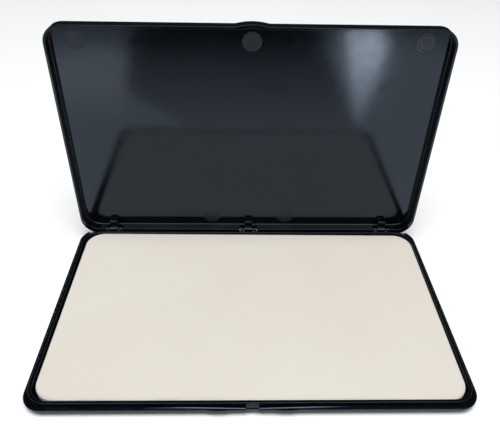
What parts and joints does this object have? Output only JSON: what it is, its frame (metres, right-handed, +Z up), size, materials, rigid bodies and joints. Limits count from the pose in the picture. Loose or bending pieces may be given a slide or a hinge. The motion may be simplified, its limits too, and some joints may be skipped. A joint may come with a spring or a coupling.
{
  "type": "wet palette",
  "caption": "Shallow hinged case for miniature painting, with a damp sponge and a sheet of palette paper laid on it; the lid stands open.",
  "frame": {"origin": "centre of the shut case's footprint, on the base's flat underside", "axes": "+X to the right along the case's long side, +Y towards the hinges at the back, +Z up"},
  "size_m": [0.25, 0.1604, 0.161],
  "materials": {
    "case_plastic": "semi-gloss moulded, black with a blue cast",
    "sponge": "fine-pored damp foam",
    "palette_paper": "matt, damp"
  },
  "bodies": {
    "base": {"case_base": "case_plastic", "sponge": "sponge", "palette_paper": "palette_paper"},
    "lid": {"case_lid": "case_plastic"}
  },
  "joints": [
    {"name": "lid_hinge", "type": "hinge", "parent": "base", "child": "lid", "pos_m": [0, 0.07515, 0.00705], "axis": [1, 0, 0], "range_deg": [0, 90]}
  ]
}
